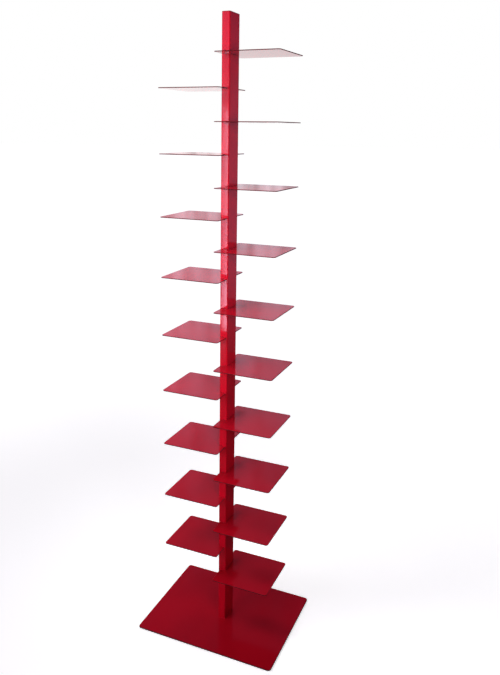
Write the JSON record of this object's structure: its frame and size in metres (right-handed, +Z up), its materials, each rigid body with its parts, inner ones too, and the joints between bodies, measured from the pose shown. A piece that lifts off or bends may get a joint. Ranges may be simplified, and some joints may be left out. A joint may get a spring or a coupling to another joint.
{
  "type": "spine bookshelf",
  "caption": "Free-standing steel book tower: slim upright tube on a flat base plate, with thin square shelves set into it on alternate sides for books lying flat.",
  "frame": {"origin": "on the floor, under the middle of the base plate", "axes": "+Z up along the spine; +X to the side that the top shelf reaches to; +Y away from the viewer, across the shelves"},
  "size_m": [0.406, 0.322, 1.657],
  "materials": {
    "red_coat": "gloss red powder coat",
    "screw_steel": "zinc plated",
    "pad_rubber": "matte",
    "bare_steel": "mill finish"
  },
  "bodies": {
    "root": {"base_plate": "red_coat", "foot_pads": "pad_rubber", "spine_column": "red_coat", "column_foot": "bare_steel", "base_screws": "screw_steel", "top_cap": "red_coat", "shelf_01": "red_coat", "shelf_02": "red_coat", "shelf_03": "red_coat", "shelf_04": "red_coat", "shelf_05": "red_coat", "shelf_06": "red_coat", "shelf_07": "red_coat", "shelf_08": "red_coat", "shelf_09": "red_coat", "shelf_10": "red_coat", "shelf_11": "red_coat", "shelf_12": "red_coat", "shelf_13": "red_coat", "shelf_14": "red_coat", "shelf_15": "red_coat", "shelf_16": "red_coat", "shelf_17": "red_coat", "shelf_18": "red_coat", "shelf_19": "red_coat"}
  },
  "joints": []
}
